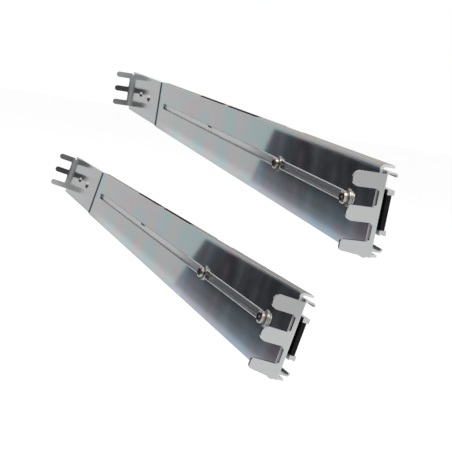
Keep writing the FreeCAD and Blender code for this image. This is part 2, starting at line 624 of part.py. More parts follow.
def adjusting_screws(rail, place):
    """Two pan-head screws with cross recesses, threaded into the tongue through the slot."""
    body = new_body(f"{rail}_adjusting_screws", place)
    under = "0 - WasherPlay - FlatWasherTall - LockWasherTall"
    top = f"{under} - ScrewHeadTall"
    shape = new_sketch(body, "XY_Plane", "screw_profile", screw_station("0"))
    outline(shape, [
        ("0", top), ("ScrewHeadFlat", top), ("ScrewHeadCrown", f"{top} + ScrewCrownTall"),
        ("ScrewHead", f"{under} - ScrewSideTall"), ("ScrewHead", under),
        ("ScrewShank", under), ("ScrewShank", "ExtensionBack"), ("0", "ExtensionBack")])
    turned = revolve(body, shape, "screw_turned")
    doc.recompute()
    cross = new_sketch(body, "XZ_Plane", "cross_recess",
                       ("0 - FrontScrew", "AxisLift", f"0 - ({top})"))
    arm = "CrossLong / 2"
    half = "CrossWide / 2"
    outline(cross, [
        (f"0 - {arm}", f"0 - {half}"), (f"0 - {half}", f"0 - {half}"),
        (f"0 - {half}", f"0 - {arm}"), (half, f"0 - {arm}"), (half, f"0 - {half}"),
        (arm, f"0 - {half}"), (arm, half), (half, half), (half, arm),
        (f"0 - {half}", arm), (f"0 - {half}", half), (f"0 - {arm}", half)])
    recess = pocket(body, cross, "cross_recess_cut", "CrossDeep")
    doc.recompute()
    repeat(body, [turned, recess], "screw_pair", "ScrewStep", 2)
    return body


def lock_washers(rail, place):
    """Two split lock washers under the screw heads."""
    body = new_body(f"{rail}_lock_washers", place)
    low = "0 - WasherPlay - FlatWasherTall"
    shape = new_sketch(body, "XY_Plane", "lock_washer_section", screw_station("0"))
    rectangle(shape, ("ScrewShank + ShankPlay", f"{low} - LockWasherTall"),
              ("LockWasherOut", low))
    ring = revolve(body, shape, "lock_washer_ring")
    doc.recompute()
    slit = new_sketch(body, "XZ_Plane", "lock_washer_slit", ("0 - FrontScrew", "AxisLift", "0"))
    rectangle(slit, ("0 - LockWasherSlit / 2", "0"), ("LockWasherSlit / 2", "LockWasherOut + CutOver"))
    cut = pocket(body, slit, "lock_washer_slit_cut")
    doc.recompute()
    repeat(body, [ring, cut], "lock_washer_pair", "ScrewStep", 2)
    return body


def flat_washers(rail, place):
    """Two flat washers that bridge the slot."""
    body = new_body(f"{rail}_flat_washers", place)
    shape = new_sketch(body, "XY_Plane", "flat_washer_section", screw_station("0"))
    rectangle(shape, ("ScrewShank + ShankPlay", "0 - WasherPlay - FlatWasherTall"),
              ("FlatWasherOut", "0 - WasherPlay"))
    ring = revolve(body, shape, "flat_washer_ring")
    doc.recompute()
    repeat(body, [ring], "flat_washer_pair", "ScrewStep", 2)
    return body


# ---------------------------------------------------------------- moving side of the slide

def middle_member(rail, place):
    """Middle member: a steel strip that carries a race bar along each of its edges."""
    body = new_body(f"{rail}_middle_member", place)
    strip = new_sketch(body, "YZ_Plane", "middle_strip", ("0", "0", "0 - MiddleFront"))
    rectangle(strip, ("MiddleBack", "0 - BarBase"), ("MiddleBack + SlideWall", "BarBase"))
    pad(body, strip, "middle_length", "MiddleLong", backward=True)
    return body


def race_bars(rail, place):
    """Two drawn race bars welded to the middle member's edges, each grooved on both sides."""
    body = new_body(f"{rail}_race_bars", place)
    body.AllowCompound = True
    deep = "SlideDeep - BarShort"
    shift = ("0", "0", "0 - MiddleFront")
    for side, low, high in (("upper", "BarBase", "BarTop"), ("lower", "0 - BarTop", "0 - BarBase")):
        bar = new_sketch(body, "YZ_Plane", f"{side}_bar", shift)
        rectangle(bar, ("MiddleBack", low), (deep, high))
        pad(body, bar, f"{side}_bar_length", "MiddleLong", backward=True)
    races = new_sketch(body, "YZ_Plane", "bar_races", shift)
    for row, up in (("OuterRow", "OuterBall"), ("InnerRow", "InnerBall")):
        circle(races, (row, up), "RaceSize")
        circle(races, (row, f"0 - {up}"), "RaceSize")
    pocket(body, races, "bar_race_grooves", "MiddleLong")
    return body


def inner_member(rail, place):
    """Inner member: C section that screws to the server, open towards the middle member."""
    body = new_body(f"{rail}_inner_member", place)
    edge = "SlideDeep - InnerDeep"
    web = "SlideDeep - SlideWall"
    inside = "InnerHalf - InnerWall"
    shift = ("0", "0", "0 - InnerFront")
    profile = new_sketch(body, "YZ_Plane", "inner_profile", shift)
    outline(profile, [
        (edge, "0 - InnerHalf"), ("SlideDeep", "0 - InnerHalf"), ("SlideDeep", "InnerHalf"),
        (edge, "InnerHalf"), (edge, inside), (web, inside), (web, f"0 - ({inside})"),
        (edge, f"0 - ({inside})")])
    pad(body, profile, "inner_length", "InnerLong", backward=True)
    races = new_sketch(body, "YZ_Plane", "inner_races", shift)
    circle(races, ("InnerRow", "InnerBall"), "RaceSize")
    circle(races, ("InnerRow", "0 - InnerBall"), "RaceSize")
    pocket(body, races, "inner_race_grooves", "InnerLong")
    cuts = new_sketch(body, "XZ_Plane", "inner_cuts")
    rectangle(cuts, ("0 - InnerFront - NoseCut", f"0 - ({inside})"),
              ("CutOver - InnerFront", inside))
    for index in (0, 1, 3):
        circle(cuts, (f"0 - ServerHoleStart - {index} * ServerHoleStep", "0"), "ServerHole")
    circle(cuts, ("0 - LeverPivot", "0"), "PivotPin")
    thumb = "LeverTail - LeverPivot - LeverLong"
    rectangle(cuts, (f"{thumb} - ThumbWindow", "0 - ThumbHalf - ThumbWindow"),
              (f"{thumb} + ThumbLong + ThumbWindow", "ThumbHalf + ThumbWindow"))
    pocket(body, cuts, "inner_cut_holes")
    return body


def front_bumper(rail, place):
    """Front bumper: black nylon block pressed between the inner member's flanges."""
    body = new_body(f"{rail}_front_bumper", place)
    inside = "InnerHalf - InnerWall"
    edge = "SlideDeep - InnerDeep"
    front = "0 - InnerFront"
    shape = new_sketch(body, "XZ_Plane", "bumper_shape", ("0", "0", f"0 - ({edge})"))
    rectangle(shape, (f"{front} - NoseLong", f"0 - ({inside})"), (front, inside))
    pad(body, shape, "bumper_block", "NoseDeep", backward=True)
    recess = new_sketch(body, "XZ_Plane", "bumper_recess", ("0", "0", f"0 - ({edge})"))
    wall = "InnerWall"
    rectangle(recess, (f"{front} - NoseLong + {wall}", f"{wall} - ({inside})"),
              (f"{front} - {wall}", f"{inside} - {wall}"))
    pocket(body, recess, "bumper_recess_cut", "NoseDeep / 2", backward=True)
    return body


def release_lever(rail, place):
    """Release lever: black nylon rocker on a pin, its thumb pad standing in the web's window."""
    body = new_body(f"{rail}_release_lever", place)
    face = "SlideDeep - SlideWall - LeverGap"
    start = "LeverTail - LeverPivot - LeverLong"
    end = "LeverTail - LeverPivot"
    shape = new_sketch(body, "XZ_Plane", "lever_shape", ("0", "0", f"LeverWall - ({face})"))
    long_hole(shape, f"{start} + LeverHalf", f"{end} - LeverHalf", "0", "LeverHalf")
    circle(shape, ("0 - LeverPivot", "0"), "PivotPin + PinPlay")
    pad(body, shape, "lever_plate", "LeverWall", backward=True)
    thumb = new_sketch(body, "XZ_Plane", "thumb_pad", ("0", "0", f"0 - ({face})"))
    rectangle(thumb, (start, "0 - ThumbHalf"), (f"{start} + ThumbLong", "ThumbHalf"))
    pad(body, thumb, "thumb_block", "LeverGap + SlideWall", backward=True)
    return body


def lever_pin(rail, place):
    """Pivot pin of the release lever, flush in the inner member's web, with a small head."""
    body = new_body(f"{rail}_lever_pin", place)
    face = "SlideDeep - SlideWall - LeverGap - LeverWall - PinPlay"
    shape = new_sketch(body, "XY_Plane", "pin_profile", ("0 - LeverPivot", "0", "0"))
    outline(shape, [
        ("0", f"{face} - LeverGap"), ("2 * PivotPin", f"{face} - LeverGap"),
        ("2 * PivotPin", face), ("PivotPin", face), ("PivotPin", "SlideDeep"),
        ("0", "SlideDeep")])
    revolve(body, shape, "pin_turned")
    return body


# ---------------------------------------------------------------- balls and cages

def ball_cage(rail, place, name, front, low, high, row, up):
    """A pair of cage strips above and below, each with one row of round pockets."""
    body = new_body(f"{rail}_{name}", place)
    body.AllowCompound = True
    for side, sign in (("upper", ""), ("lower", "0 - ")):
        strip = new_sketch(body, "XY_Plane", f"{side}_strip",
                           ("0", "0", f"{sign}{up} - CageTall / 2"))
        rectangle(strip, (f"0 - {front} - CageLong", low), (f"0 - {front}", high))
        for index in range(BALLS_IN_A_ROW):
            circle(strip, (f"0 - {front} - BallInset - {index} * BallStep", row),
                   "BallSize / 2 + CagePlay")
        pad(body, strip, f"{side}_strip_sheet", "CageTall")
    return body


def ball_rows(rail, place, name, front, row, up):
    """Two rows of steel balls, above and below, each one turned ball repeated along the rail."""
    body = new_body(f"{rail}_{name}", place)
    body.AllowCompound = True
    radius = number("BallSize / 2")
    disc = Part.Circle(FreeCAD.Vector(0, 0, 0), FreeCAD.Vector(0, 0, 1), radius)
    for side, height in (("upper", up), ("lower", f"0 - {up}")):
        half = new_sketch(body, "XY_Plane", f"{side}_ball_half",
                          (f"0 - {front} - BallInset", row, height))
        arc = half.addGeometry(Part.ArcOfCircle(disc, -QUARTER_TURN, QUARTER_TURN), False)
        chord = half.addGeometry(
            Part.LineSegment(FreeCAD.Vector(0, radius, 0), FreeCAD.Vector(0, -radius, 0)), False)
        half.addConstraint(Sketcher.Constraint("Coincident", arc, 3, -1, 1))
        half.addConstraint(Sketcher.Constraint("Coincident", arc, 2, chord, 1))
        half.addConstraint(Sketcher.Constraint("Coincident", arc, 1, chord, 2))
        half.addConstraint(Sketcher.Constraint("PointOnObject", chord, 1, -2))
        half.addConstraint(Sketcher.Constraint("PointOnObject", chord, 2, -2))
        tie = half.addConstraint(Sketcher.Constraint("Radius", arc, radius))
        half.setExpression(f"Constraints[{tie}]", sized("BallSize / 2"))
        ball = revolve(body, half, f"{side}_ball")
        doc.recompute()
        repeat(body, [ball], f"{side}_ball_row", "BallStep", BALLS_IN_A_ROW)
    return body


def one_rail(rail, place):
    """All the pieces of one rail, each a body of its own at the rail's place."""
    outer_cage = ("OuterCageFront", "SlideBack + SlideWall + SlideGap",
                  "SlideDeep - LipWall - SlideGap", "OuterRow", "OuterBall")
    inner_cage = ("InnerCageFront", "MiddleBack + SlideWall + SlideGap",
                  "SlideDeep - CageEdge", "InnerRow", "InnerBall")
    pieces = [
        channel(rail, place), front_bracket(rail, place), weld_studs(rail, place),
        outer_member(rail, place), rear_stop(rail, place), damping_pad(rail, place),
        rear_extension(rail, place), rear_bracket(rail, place), rear_rivets(rail, place),
        adjusting_screws(rail, place), lock_washers(rail, place), flat_washers(rail, place),
        middle_member(rail, place), race_bars(rail, place), inner_member(rail, place),
        front_bumper(rail, place), release_lever(rail, place), lever_pin(rail, place)]
    for name, (front, low, high, row, up) in (("outer", outer_cage), ("inner", inner_cage)):
        pieces.append(ball_cage(rail, place, f"{name}_ball_cage", front, low, high, row, up))
        pieces.append(ball_rows(rail, place, f"{name}_balls", front, row, up))
    return pieces


at_origin = FreeCAD.Placement()
beside = FreeCAD.Placement(
    spot("PairAlong", "PairAcross", "0 - PairDrop"),
    FreeCAD.Rotation(number("PairYaw"), number("PairPitch"), number("PairRoll")))
sub_parts = one_rail("rail1", at_origin) + one_rail("rail2", beside)
doc.recompute()

# ---------------------------------------------------------------- checks and files

for item in doc.Objects:
    if "Invalid" in item.State or "Error" in item.State:
        raise RuntimeError(f"{item.Label} did not build: {item.State}")
for piece in sub_parts:
    if piece.Shape.isNull() or not piece.Shape.isValid() or not piece.Shape.Solids:
        raise RuntimeError(f"{piece.Label} has no sound solid")

os.makedirs("parts", exist_ok=True)
for piece in sub_parts:
    piece.Shape.exportStep(f"parts/{piece.Label}.step")
    box = piece.Shape.BoundBox
    print(f"{piece.Label}: {len(piece.Shape.Solids)} solids, {piece.Shape.Volume:.1f} mm3, "
          f"{box.XLength:.1f} x {box.YLength:.1f} x {box.ZLength:.1f}")
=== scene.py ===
import json
import math

import bmesh
import bpy
from mathutils import Matrix, Vector


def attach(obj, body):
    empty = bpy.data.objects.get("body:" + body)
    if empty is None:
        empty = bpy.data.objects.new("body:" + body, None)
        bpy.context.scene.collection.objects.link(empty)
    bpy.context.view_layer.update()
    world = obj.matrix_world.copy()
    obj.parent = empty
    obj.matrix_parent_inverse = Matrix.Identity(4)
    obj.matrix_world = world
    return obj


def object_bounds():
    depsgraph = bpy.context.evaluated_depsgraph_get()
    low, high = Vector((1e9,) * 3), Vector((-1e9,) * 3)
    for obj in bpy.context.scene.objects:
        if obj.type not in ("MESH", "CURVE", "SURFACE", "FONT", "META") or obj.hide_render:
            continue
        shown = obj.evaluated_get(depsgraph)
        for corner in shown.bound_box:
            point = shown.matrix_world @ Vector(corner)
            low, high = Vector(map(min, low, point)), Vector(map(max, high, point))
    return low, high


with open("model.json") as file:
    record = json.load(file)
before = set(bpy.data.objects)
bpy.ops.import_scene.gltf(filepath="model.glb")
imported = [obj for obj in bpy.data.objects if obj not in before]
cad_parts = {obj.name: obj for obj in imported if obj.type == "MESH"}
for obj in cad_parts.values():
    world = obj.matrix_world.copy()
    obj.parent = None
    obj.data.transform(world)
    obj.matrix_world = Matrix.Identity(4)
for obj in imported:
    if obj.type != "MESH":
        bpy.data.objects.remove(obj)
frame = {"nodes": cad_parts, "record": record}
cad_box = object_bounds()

# ---- The rails' places ------------------------------------------------------------------
# Each rail keeps a frame of its own: X runs along it to the front, Y goes inward to the
# server and Z is up. Its origin is the middle of the front flange, where it meets the post.
RAILS = ("rail1", "rail2")
MOUNTS = {mount["name"]: mount for mount in frame["record"]["mounts"]}


def place_of(rail):
    """The rail's own frame, taken from its front flange and its server side."""
    flange = MOUNTS[f"{rail}_front_flange"]
    along = Vector(flange["axis"])
    inward = Vector(MOUNTS[f"{rail}_server_side"]["axis"])
    turn = Matrix((along, inward, along.cross(inward))).transposed().to_4x4()
    return Matrix.Translation(flange["pos_m"]) @ turn


PLACES = {rail: place_of(rail) for rail in RAILS}


# ---- Outer channels and rear extensions ---------------------------------------------------
# Cold-rolled steel sheet, pressed and bent, then plated with clear-passivated zinc. The
# plating is nearly a mirror, with a thin film that turns pale blue, green and rose in clouds.
class Field:
    """A value or colour that changes over a surface, with Python's own arithmetic."""

    def __init__(self, tree, socket):
        self.tree = tree
        self.socket = socket

    def node(self, kind, settings, inputs, output=0):
        made = self.tree.nodes.new(kind)
        for name, value in settings.items():
            setattr(made, name, value)
        for name, value in inputs.items():
            if isinstance(value, Field):
                self.tree.links.new(value.socket, made.inputs[name])
            else:
                made.inputs[name].default_value = value
        return Field(self.tree, made.outputs[output])

    def math(self, operation, first, second=0.0):
        return self.node("ShaderNodeMath", {"operation": operation}, {0: first, 1: second})

    def __add__(self, other):
        return self.math("ADD", self, other)

    __radd__ = __add__

    def __sub__(self, other):
        return self.math("SUBTRACT", self, other)

    def __rsub__(self, other):
        return self.math("SUBTRACT", other, self)

    def __mul__(self, other):
        return self.math("MULTIPLY", self, other)

    __rmul__ = __mul__

    def fade(self, low, high):
        """0 below low, 1 above high, smooth between; high may be the lower one."""
        start, end, left, right = (low, high, 0.0, 1.0) if low < high else (high, low, 1.0, 0.0)
        return self.node("ShaderNodeMapRange", {"interpolation_type": "SMOOTHSTEP"},
                         {"Value": self, "From Min": start, "From Max": end,
                          "To Min": left, "To Max": right})

    def tint(self, off, on):
        """The colour off where the field is 0 and on where it is 1."""
        return self.node("ShaderNodeMix", {"data_type": "RGBA"}, {0: self, 6: off, 7: on}, 2)


class Finish(Field):
    """A procedural material that reads its pattern in one rail's own frame."""

    def __init__(self, name, rail, metallic, roughness, base):
        self.material = bpy.data.materials.new(name)
        self.material.use_nodes = True
        self.shader = self.material.node_tree.nodes["Principled BSDF"]
        self.shader.inputs["Metallic"].default_value = metallic
        self.shader.inputs["Roughness"].default_value = roughness
        self.shader.inputs["Base Color"].default_value = (*base, 1.0)
        super().__init__(self.material.node_tree, None)
        place = PLACES[rail]
        whole = self.node("ShaderNodeTexCoord", {}, {}, "Object")
        self.spot = self.node("ShaderNodeMapping", {"vector_type": "TEXTURE"},
                              {"Vector": whole, "Location": place.to_translation(),
                               "Rotation": place.to_euler()})

    def stretch(self, x, y, z):
        return self.node("ShaderNodeMapping", {}, {"Vector": self.spot, "Scale": (x, y, z)})

    def noise(self, scale, detail=3.0, rough=0.5, along=1.0, up=1.0):
        """Cloudy noise of a size in lumps per metre, drawn out along or across the rail."""
        return self.node("ShaderNodeTexNoise", {},
                         {"Vector": self.stretch(along, 1.0, up), "Scale": scale,
                          "Detail": detail, "Roughness": rough}, "Fac")

    def axis(self, name):
        return self.node("ShaderNodeSeparateXYZ", {}, {"Vector": self.spot}, name)

    def feed(self, name, field):
        self.tree.links.new(field.socket, self.shader.inputs[name])

    def bump(self, field, strength, height):
        raised = self.node("ShaderNodeBump", {},
                           {"Height": field, "Strength": strength, "Distance": height})
        self.feed("Normal", raised)


def dress(finish, *nodes):
    """Put a finish on CAD nodes, in place of the one they came with."""
    for name in nodes:
        slots = frame["nodes"][name].data.materials
        slots.clear()
        slots.append(finish.material)


ZINC = (0.50, 0.503, 0.50)
ZINC_BLUE = (0.405, 0.52, 0.54)
ZINC_ROSE = (0.53, 0.465, 0.485)


def zinc_sheet(name, rail, tone, gloss, film, rolled=0.06):
    """Clear zinc on rolled sheet: tone scales its brightness, film the strength of its clouds."""
    grey, blue, rose = ((*(channel * tone for channel in colour), 1.0)
                        for colour in (ZINC, ZINC_BLUE, ZINC_ROSE))
    finish = Finish(name, rail, 1.0, gloss, grey[:3])
    cool = finish.noise(15.0, 3.0, 0.5, 1.0, 2.0).fade(0.42, 0.62) * film
    warm = finish.noise(26.0, 2.5, 0.5, 1.0, 1.6).fade(0.52, 0.68) * film
    finish.colour = warm.tint(cool.tint(grey, blue), rose)
    finish.feed("Base Color", finish.colour)
    wear = finish.noise(60.0, 4.0, 0.6, 0.4, 3.0)
    finish.feed("Roughness", gloss * 0.75 + wear * (gloss * 0.5))
    grain = finish.noise(700.0, 2.0, 0.5, 0.15, 1.0)
    finish.bump(grain, rolled, 0.0002)
    return finish


# The channel's front edge is sheared steel, paler and less of a mirror than the plated face.
# Inside it is painted dark brown as shade, and its top flange is painted darker and duller as
# shade.
INSIDE_PAINTED_SHADE = (0.10, 0.085, 0.075, 1.0)
TOP_FLANGE_PAINTED_SHADE = (0.30, 0.275, 0.26, 1.0)
SHEARED = (0.80, 0.79, 0.77, 1.0)
CHANNEL_FINISH = {}
for rail in RAILS:
    channel = zinc_sheet(f"{rail}_channel_zinc", rail, 1.0, 0.10, 1.0)
    up = channel.axis("Z")
    # Painted shade: the inner faces between the flanges are tinted dark brown.
    shaded_inside = (channel.axis("Y").fade(0.0012, 0.0015) * up.fade(0.0212, 0.0209)
              * up.fade(-0.0204, -0.0201))
    face = shaded_inside.tint(channel.colour, INSIDE_PAINTED_SHADE)
    # Painted shade: the top flange is tinted darker, rougher and less metallic.
    flange = up.fade(0.0219, 0.0222)
    face = flange.tint(face, TOP_FLANGE_PAINTED_SHADE)
    channel.feed("Roughness", 0.10 + 0.55 * flange)
    sheared = channel.axis("X").fade(-0.0049, -0.0043)
    channel.feed("Base Color", sheared.tint(face, SHEARED))
    channel.feed("Metallic", 1.0 - sheared.math("MAXIMUM", sheared * 0.85, flange * 0.7))
    dress(channel, f"{rail}_channel")
    CHANNEL_FINISH[rail] = channel

# The washers rub the extension's tongue along the slot, which leaves long fine scratches.
SCRATCH_LOW = (0.50, 0.50, 0.505, 1.0)
SCRATCH_HIGH = (0.86, 0.87, 0.88, 1.0)
EXTENSION_FINISH = {}
for rail in RAILS:
    extension = zinc_sheet(f"{rail}_extension_zinc", rail, 1.0, 0.12, 0.35)
    along = extension.axis("X")
    in_slot = along.fade(-0.470, -0.440)
    drawn = extension.noise(900.0, 3.0, 0.6, 0.02, 1.0)
    slot_tone = drawn.tint(SCRATCH_LOW, SCRATCH_HIGH)
    extension.feed("Base Color", in_slot.tint(extension.colour, slot_tone))
    extension.feed("Roughness", 0.12 + in_slot * (0.20 + drawn * 0.12))
    extension.bump(drawn, 0.15, 0.0002)
    dress(extension, f"{rail}_rear_extension")
    EXTENSION_FINISH[rail] = extension

# ---- Square corners ---------------------------------------------------------------------------
# The long corners of the channel and the extension, struck square in the press after bending:
# slim angles over the bends. The lower ones stand a little proud, and at the two windows the
# upper ones are only as deep as the sheet's edge.
CHANNEL_SPANS = ((-0.4910, -0.3400, False), (-0.3400, -0.2750, True), (-0.2750, -0.2590, False),
                 (-0.2590, -0.1940, True), (-0.1940, -0.0052, False))
EXTENSION_SPANS = ((-0.6580, -0.4925, False),)
CORNER_DEEP = 0.0024
CORNER_REACH = 0.0028
SKIN = 0.00003
WINDOW_EDGE = 0.00045


def square_corners(rail, name, spans, face, edges, finish, body):
    """Angles over the upper and the lower bend; face is the sheet's outer side."""
    angle = bmesh.new()
    skin = face - SKIN
    for edge, side in zip(edges, (1.0, -1.0)):
        foot = edge - side * CORNER_REACH
        for start, end, window in spans:
            if window and side > 0:
                section = [(skin, foot), (skin, edge - 0.0003), (skin + 0.0002, edge),
                           (face + WINDOW_EDGE, edge), (face + WINDOW_EDGE, foot)]
            else:
                section = [(skin, foot), (skin, edge - side * 0.0003), (skin + 0.0003, edge),
                           (face + CORNER_DEEP - 0.0004, edge),
                           (face + CORNER_DEEP, edge - side * 0.0011),
                           (face + 0.0004, edge - side * 0.0024), (face + 0.0004, foot)]
            near = [angle.verts.new((start, y, z)) for y, z in section]
            far = [angle.verts.new((end, y, z)) for y, z in section]
            angle.faces.new(near)
            angle.faces.new(far)
            for index in range(len(section)):
                angle.faces.new((near[index - 1], near[index], far[index], far[index - 1]))
    bmesh.ops.recalc_face_normals(angle, faces=angle.faces)
    bmesh.ops.transform(angle, matrix=PLACES[rail], verts=angle.verts)
    data = bpy.data.meshes.new(f"{rail}_{name}")
    angle.to_mesh(data)
    data.materials.append(finish.material)
    made = bpy.data.objects.new(f"{rail}_{name}", data)
    bpy.context.scene.collection.objects.link(made)
    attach(made, body)


for rail in RAILS:
    square_corners(rail, "channel_corners", CHANNEL_SPANS, 0.0, (0.0222, -0.0222),
                   CHANNEL_FINISH[rail], "fixed_rails")
    square_corners(rail, "extension_corners", EXTENSION_SPANS, 0.0015, (0.0218, -0.0218),
                   EXTENSION_FINISH[rail], f"{rail}_extension")

# ---- Edge shade strips ------------------------------------------------------------------------
# A strip of slate-grey rubber glued upright on the extension, close behind the channel's rear
# edge and a little proud of it: a dark piece put there as painted shade, the shadow line at that
# edge.
SHADE_STRIP_START, SHADE_STRIP_END = -0.4932, -0.4916
SHADE_STRIP_OUT, SHADE_STRIP_IN = -0.0007, 0.0015
SHADE_STRIP_LOW, SHADE_STRIP_HIGH = -0.0212, 0.0219
for rail in RAILS:
    shade_strip = bmesh.new()
    strip = bmesh.ops.create_cube(shade_strip, size=1.0)
    bmesh.ops.scale(shade_strip, verts=strip["verts"],
                    vec=(SHADE_STRIP_END - SHADE_STRIP_START, SHADE_STRIP_IN - SHADE_STRIP_OUT, SHADE_STRIP_HIGH - SHADE_STRIP_LOW))
    bmesh.ops.translate(shade_strip, verts=strip["verts"],
                        vec=((SHADE_STRIP_START + SHADE_STRIP_END) / 2, (SHADE_STRIP_OUT + SHADE_STRIP_IN) / 2,
                             (SHADE_STRIP_LOW + SHADE_STRIP_HIGH) / 2))
    bmesh.ops.bevel(shade_strip, geom=shade_strip.edges[:], offset=0.0003, affect="EDGES", segments=3,
                    profile=0.5, material=-1)
    bmesh.ops.recalc_face_normals(shade_strip, faces=shade_strip.faces)
    bmesh.ops.transform(shade_strip, matrix=PLACES[rail], verts=shade_strip.verts)
    shade_strip_data = bpy.data.meshes.new(f"{rail}_edge_shade_strip")
    shade_strip.to_mesh(shade_strip_data)
    slate = Finish(f"{rail}_slate_rubber", rail, 0.0, 0.7, (0.070, 0.095, 0.115))
    slate.shader.inputs["Specular IOR Level"].default_value = 0.2
    slate.feed("Roughness", 0.65 + 0.15 * slate.noise(500.0))
    slate.bump(slate.noise(1800.0), 0.15, 0.0001)
    shade_strip_data.materials.append(slate.material)
    made = bpy.data.objects.new(f"{rail}_edge_shade_strip", shade_strip_data)
    bpy.context.scene.collection.objects.link(made)
    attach(made, f"{rail}_extension")

# ---- Slot rims ------------------------------------------------------------------------------
# The long slot is punched from inside, which rolls a fine bead up along both of its edges and
# round its two ends. It is painted pale as a highlight in front and dark as shade towards the rear.
RIM_SIZE = 0.00028
RIM_BRIGHT = (0.86, 0.87, 0.88)
RIM_PAINTED_SHADE = (0.33, 0.33, 0.33)
SLOT_UP = 0.0008
SLOT_HALF = 0.0025
SLOT_ENDS = (-0.4662, -0.0316)
RIM_SIDES = 8
TURN_STEPS = 12
for rail in RAILS:
    bead = bmesh.new()
    rings = []
    for end, half in ((SLOT_ENDS[1], 0.0), (SLOT_ENDS[0], math.pi)):
        for step in range(TURN_STEPS + 1):
            turn = half + math.pi * step / TURN_STEPS
            ring = []
            for side in range(RIM_SIDES):
                phase = 2 * math.pi * side / RIM_SIDES
                reach = SLOT_HALF + RIM_SIZE * math.sin(phase)
                ring.append(bead.verts.new((end + reach * math.sin(turn),
                                            RIM_SIZE * math.cos(phase),
                                            SLOT_UP + reach * math.cos(turn))))
            rings.append(ring)
    for index, ring in enumerate(rings):
        before = rings[index - 1]
        for side in range(RIM_SIDES):
            bead.faces.new((before[side - 1], before[side], ring[side], ring[side - 1]))
    bmesh.ops.recalc_face_normals(bead, faces=bead.faces)
    bmesh.ops.transform(bead, matrix=PLACES[rail], verts=bead.verts)
    rim_data = bpy.data.meshes.new(f"{rail}_slot_rim")
    bead.to_mesh(rim_data)
    rim = bpy.data.objects.new(f"{rail}_slot_rim", rim_data)
    bpy.context.scene.collection.objects.link(rim)
    bright = Finish(f"{rail}_rolled_edge", rail, 0.75, 0.35, RIM_BRIGHT)
    # Painted shade: behind x = -0.15 m the bead fades from its pale highlight colour to dark grey.
    rear_shade = bright.axis("X").fade(-0.150, -0.180)
    bright.feed("Base Color", rear_shade.tint((*RIM_BRIGHT, 1.0), (*RIM_PAINTED_SHADE, 1.0)))
    bright.feed("Roughness", 0.28 + 0.2 * bright.noise(300.0))
    bright.bump(bright.noise(1200.0), 0.05, 0.0001)
    rim_data.materials.append(bright.material)
    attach(rim, "fixed_rails")

# ---- Forked brackets ----------------------------------------------------------------------
# The front and rear flanges whose fingers lie on the rack's posts. The front one's thicker
# sheet is plated brighter and more evenly than the channel, with painted shade towards its top;
# the rear one's fingers carry painted shade and reflection on their outer side.
for rail in RAILS:
    front_fork = zinc_sheet(f"{rail}_fork_zinc", rail, 0.97, 0.24, 0.15)
    # Painted shade: the front fingers darken by up to 22 % towards the top.
    front_top_shade = front_fork.axis("Z").fade(0.002, 0.013) * 0.22
    front_fork.feed("Base Color", front_top_shade.tint(front_fork.colour, (0.02, 0.02, 0.02, 1.0)))
    dress(front_fork, f"{rail}_front_bracket")
    rear_fork = zinc_sheet(f"{rail}_rear_fork_zinc", rail, 0.95, 0.26, 0.15)
    up = rear_fork.axis("Z")
    outward = rear_fork.axis("Y").fade(0.001, -0.003)
    # Painted shade and reflection: the rear fingers' outer side darkens by height, differently per
    # rail.
    shaded = {"rail1": up.fade(0.0115, 0.0085), "rail2": up.fade(-0.0090, -0.0060)}[rail]
    middle = up.fade(0.0085, 0.0050) * up.fade(-0.0070, -0.0035)
    outer_side_shade = outward * (shaded * 0.60 + middle * 0.28)
    rear_fork.feed("Base Color", outer_side_shade.tint(rear_fork.colour, (0.05, 0.05, 0.055, 1.0)))
    dress(rear_fork, f"{rail}_rear_bracket")

# ---- Slide members, studs, cages and balls --------------------------------------------------
# Roll-formed steel strip with a plainer zinc finish. The balls are polished bearing steel.
for rail in RAILS:
    dress(zinc_sheet(f"{rail}_slide_zinc", rail, 1.0, 0.26, 0.2),
          f"{rail}_outer_member", f"{rail}_middle_member", f"{rail}_race_bars",
          f"{rail}_inner_member", f"{rail}_weld_studs", f"{rail}_outer_ball_cage",
          f"{rail}_inner_ball_cage")
    polished = Finish(f"{rail}_ball_steel", rail, 1.0, 0.08, (0.62, 0.62, 0.63))
    polished.bump(polished.noise(900.0), 0.02, 0.0001)
    dress(polished, f"{rail}_outer_balls", f"{rail}_inner_balls")

# ---- Screws, washers and rivets -------------------------------------------------------------
# Nickel-plated steel, warmer than the zinc. The split washers are blackened spring steel, and
# the rivets' heads carry a painted highlight on their crowns, above a copper-brown flux stain
# darkened as painted shade.
NICKEL = (0.60, 0.57, 0.53)
WASHER_NICKEL = (0.72, 0.70, 0.67, 1.0)
HEAD_NICKEL = (0.42, 0.36, 0.32, 1.0)
FLUX_STAIN_AND_SHADE = (0.09, 0.045, 0.04, 1.0)
RIVET_PAINTED_HIGHLIGHT = (0.86, 0.85, 0.84, 1.0)
for rail in RAILS:
    nickel = Finish(f"{rail}_nickel", rail, 1.0, 0.16, NICKEL)
    head = nickel.axis("Y").fade(-0.0022, -0.0026)
    nickel.feed("Base Color", head.tint(WASHER_NICKEL, HEAD_NICKEL))
    nickel.feed("Roughness", 0.12 + 0.10 * nickel.noise(400.0))
    nickel.bump(nickel.noise(1500.0), 0.04, 0.0001)
    dress(nickel, f"{rail}_adjusting_screws", f"{rail}_flat_washers", f"{rail}_lever_pin")
    spring = Finish(f"{rail}_spring_steel", rail, 1.0, 0.22, (0.16, 0.145, 0.135))
    spring.bump(spring.noise(1500.0), 0.05, 0.0001)
    dress(spring, f"{rail}_lock_washers")
    rivet = Finish(f"{rail}_rivet_steel", rail, 1.0, 0.20, NICKEL)
    # Painted highlight and shade: the head's top is pale, its lower part dark brown.
    highlight_top = rivet.axis("Z").fade(0.0006, 0.0024)
    rivet.feed("Base Color", highlight_top.tint(FLUX_STAIN_AND_SHADE, RIVET_PAINTED_HIGHLIGHT))
    rivet.feed("Roughness", 0.16 + 0.10 * rivet.noise(600.0))
    dress(rivet, f"{rail}_rear_rivets")
